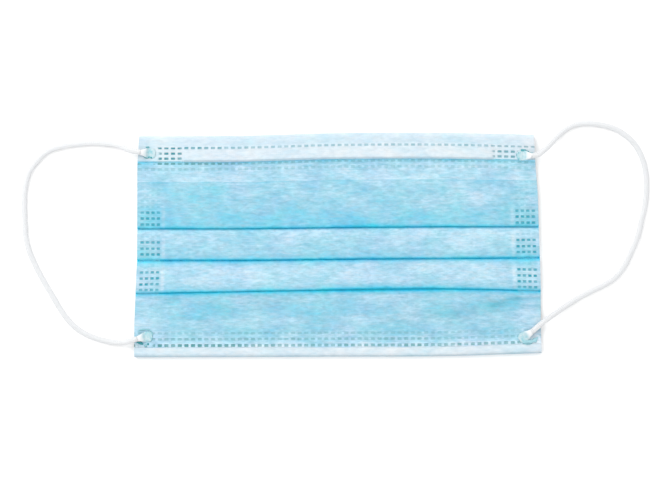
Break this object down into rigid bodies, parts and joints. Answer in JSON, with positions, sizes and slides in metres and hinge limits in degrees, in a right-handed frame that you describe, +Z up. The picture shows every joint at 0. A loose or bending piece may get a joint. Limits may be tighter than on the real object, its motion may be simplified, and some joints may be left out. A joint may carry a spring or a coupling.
{
  "type": "surgical face mask",
  "caption": "Flat-folded pleated face mask in light blue non-woven fabric, with white hems, a bendable nose strip in the top hem and two thin elastic ear loops.",
  "frame": {"origin": "Under the middle of the folded body, on the surface that the mask lies on.", "axes": "X runs across the mask from its left ear loop to its right one, Y from the bottom edge to the top edge, Z up out of its front face."},
  "size_m": [0.2738, 0.1032, 0.0063],
  "materials": {
    "blue_nonwoven": "light blue spunbond polypropylene, matt with faint fibres",
    "white_nonwoven": "white spunbond polypropylene, matt",
    "coated_wire": "white plastic coating over a soft metal core",
    "white_elastic": "white knitted elastic, matt"
  },
  "bodies": {
    "root": {"pleated_body": "blue_nonwoven", "top_hem": "white_nonwoven", "bottom_hem": "white_nonwoven", "nose_wire": "coated_wire", "ear_loop_left": "white_elastic", "ear_loop_right": "white_elastic", "loop_end_top_left": "white_elastic", "loop_end_top_right": "white_elastic", "loop_end_bottom_left": "white_elastic", "loop_end_bottom_right": "white_elastic"}
  },
  "joints": []
}
